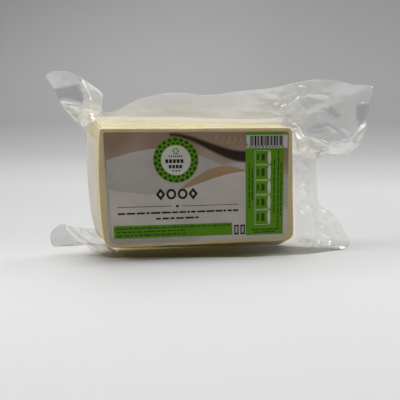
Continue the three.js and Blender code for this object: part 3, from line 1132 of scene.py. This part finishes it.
def drawColumn(ink, draw):
    ink(boxOutline(*printed["column"]), 5, "green")
    drawBars(ink, draw)
    drawCells(ink)
    # upright rows of print: middle, foot and top
    uprights = ((36.3, 34.0, 66.0), (38.6, 40.0, 62.0), (54.9, 30.0, 70.0),
                (58.0, 20.0, 75.0), (60.2, 28.0, 66.0))
    for middle, foot, top in uprights:
        printRow(ink, draw, foot, top, middle, 0.9, "darkGreen", 6, upright=True)
    printRow(ink, draw, 38.0, 59.0, 18.4, 0.9, "darkGreen", 6)
    printRow(ink, draw, 40.0, 57.0, 16.5, 0.9, "darkGreen", 6)


def buildLabel():
    draw = random.Random(5)
    mesh = bmesh.new()
    front = -0.5 * pack["depth"]
    corners = [mesh.verts.new(labelPoint(x, front, z)) for x, z in labelOutline()]
    face = mesh.faces.new(corners)
    pushed = bmesh.ops.extrude_face_region(mesh, geom=[face], use_keep_orig=True)
    made = [item for item in pushed["geom"] if isinstance(item, bmesh.types.BMVert)]
    bmesh.ops.translate(mesh, verts=made, vec=(0.0, -label["paperThick"] * millimetre, 0.0))

    def ink(outline, layer, name):
        addInk(mesh, outline, layer, name)

    drawPicture(ink)
    drawBadge(ink)
    drawTitle(ink, draw)
    drawStrip(ink, draw)
    drawColumn(ink, draw)
    materials = [pictureMaterial()]
    materials += [inkMaterial(name, colour) for name, colour in inkColours.items()]
    made = finishObject("printedLabel", mesh, materials, smoothFaces=False)
    print("label:", len(made.data.polygons), "faces")
    return made


# Stage: a pale floor that curves up into a backdrop, square to the camera, with the light's falloff
# painted into its greys

stage = {
    "azimuth": -14.0,
    "front": -1.6,
    "back": 0.75,
    "bend": 0.45,
    "top": 2.4,
    "halfWidth": 2.8,
    "bendRings": 16,
    # greys, with the light's falloff painted in, by the way back from the middle, plus twice
    # the height, and how much lighter the grey gets as painted light for each metre to the right, from
    # where on
    "paintedFalloff": ((-0.08, 0.63), (0.03, 0.52), (0.1, 0.49), (0.28, 0.505), (0.48, 0.57), (0.7, 0.59),
              (0.84, 0.565), (0.95, 0.475), (1.18, 0.35), (1.5, 0.375)),
    "paintedRightLightStart": 0.2,
    "paintedRightLight": 0.55,
}


def stageMaterial():
    nodes = Nodes("paleFloor")
    azimuth = math.radians(stage["azimuth"])
    level = nodes.distanceAlong((-math.sin(azimuth), math.cos(azimuth), 2.0))
    level = nodes.math("ADD", level, nodes.math("MULTIPLY", nodes.noise(2.0, 2.0), 0.03))
    first, last = stage["paintedFalloff"][0][0], stage["paintedFalloff"][-1][0]
    level = nodes.math("DIVIDE", nodes.math("SUBTRACT", level, first), last - first)
    colour = nodes.ramp(level, [
        ((place - first) / (last - first), (grey, grey, grey)) for place, grey in stage["paintedFalloff"]])
    # painted light: the greys get lighter towards the right
    across = nodes.distanceAlong((math.cos(azimuth), math.sin(azimuth), 0.0))
    lift = nodes.math("MAXIMUM", nodes.math("SUBTRACT", across, stage["paintedRightLightStart"]), 0.0)
    lift = nodes.math("ADD", nodes.math("MULTIPLY", lift, stage["paintedRightLight"]), 1.0)
    lifted = nodes.add("VectorMath", operation="SCALE")
    nodes.link(colour, lifted.inputs[0])
    nodes.link(lift, lifted.inputs["Scale"])
    return nodes.surface(nodes.body(lifted.outputs["Vector"], 0.7).outputs["BSDF"])


def buildStage():
    profile = [(stage["front"], 0.0), (stage["back"], 0.0)]
    for step in range(1, stage["bendRings"] + 1):
        angle = 0.5 * math.pi * step / stage["bendRings"]
        profile.append((stage["back"] + stage["bend"] * math.sin(angle),
                        stage["bend"] * (1.0 - math.cos(angle))))
    profile.append((stage["back"] + stage["bend"], stage["top"]))
    mesh = bmesh.new()
    line = [mesh.verts.new((-stage["halfWidth"], y, z)) for y, z in profile]
    edges = [mesh.edges.new(pair) for pair in zip(line, line[1:])]
    made = bmesh.ops.extrude_edge_only(mesh, edges=edges)["geom"]
    moved = [item for item in made if isinstance(item, bmesh.types.BMVert)]
    bmesh.ops.translate(mesh, verts=moved, vec=(2 * stage["halfWidth"], 0.0, 0.0))
    turn = Matrix.Rotation(math.radians(stage["azimuth"]), 3, "Z")
    bmesh.ops.rotate(mesh, verts=mesh.verts, cent=(0.0, 0.0, 0.0), matrix=turn)
    finishObject("studioFloor", mesh, [stageMaterial()])
    print("stage: floor and backdrop")


lights = {
    "world": 0.10,
    "keyPlace": (0.02, 0.12, 1.9),
    "keyTarget": (0.0, 0.1, 0.0),
    "keySize": 0.8,
    "keyPower": 22.0,
    "backPlace": (0.08, 0.85, 0.85),
    "backTarget": (0.0, 0.0, 0.0),
    "backSize": 0.8,
    "backPower": 4.2,
    "sidePlaces": ((-0.75, 0.1, 0.45), (0.75, 0.25, 0.45)),
    "sideTarget": (0.0, 0.0, 0.08),
    "sideSize": 0.5,
    "sideSpread": 80.0,
    "sidePower": 0.8,
    "glintPlaces": ((-0.8, -0.9, 1.1), (0.7, -0.9, 1.3)),
    "glintTarget": (0.0, 0.0, 0.05),
    "glintSize": 0.28,
    "glintPower": 1.6,
}


def addAreaLight(name, place, target, size, power):
    data = bpy.data.lights.new(name, "AREA")
    data.shape = "SQUARE"
    data.size = size
    data.energy = power
    lamp = bpy.data.objects.new(name, data)
    bpy.context.scene.collection.objects.link(lamp)
    lamp.location = place
    lamp.rotation_euler = (Vector(target) - Vector(place)).to_track_quat("-Z", "Y").to_euler()
    return lamp


def buildLights():
    world = bpy.data.worlds.new("studio")
    world.use_nodes = True
    background = world.node_tree.nodes["Background"]
    background.inputs["Color"].default_value = (1.0, 1.0, 1.0, 1.0)
    background.inputs["Strength"].default_value = lights["world"]
    bpy.context.scene.world = world
    bpy.context.scene.view_settings.view_transform = "Standard"
    addAreaLight("key", lights["keyPlace"], lights["keyTarget"], lights["keySize"], lights["keyPower"])
    addAreaLight(
        "back", lights["backPlace"], lights["backTarget"], lights["backSize"], lights["backPower"])
    for index, place in enumerate(lights["sidePlaces"]):
        lamp = addAreaLight(
            f"side{index}", place, lights["sideTarget"], lights["sideSize"], lights["sidePower"])
        lamp.data.spread = math.radians(lights["sideSpread"])
    for index, place in enumerate(lights["glintPlaces"]):
        addAreaLight(
            f"glint{index}", place, lights["glintTarget"], lights["glintSize"], lights["glintPower"])
    print("lights: key, back, two at the sides and two for the glints")


camera = {
    "place": (-0.1170, -0.4934, 0.1005),
    "azimuth": -14.0,
    "elevation": 7.0,
    "lens": 63.0,
}


def buildCamera():
    data = bpy.data.cameras.new("camera")
    data.lens = camera["lens"]
    data.sensor_width = 36.0
    data.clip_start = 0.01
    made = bpy.data.objects.new("camera", data)
    bpy.context.scene.collection.objects.link(made)
    made.location = camera["place"]
    made.rotation_euler = (
        math.radians(90.0 - camera["elevation"]), 0.0, math.radians(camera["azimuth"]))
    bpy.context.scene.camera = made
    print("camera: azimuth", camera["azimuth"], "elevation", camera["elevation"])


buildCamera()
buildLights()
buildStage()

filmObject = buildFilm(filmMaterial())
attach(filmObject, "root")
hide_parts("bag")

tofuObject = buildTofu(tofuMaterial())
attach(tofuObject, "root")
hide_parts("bag")

labelObject = buildLabel()
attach(labelObject, "root")
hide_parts("label")

bpy.context.view_layer.update()
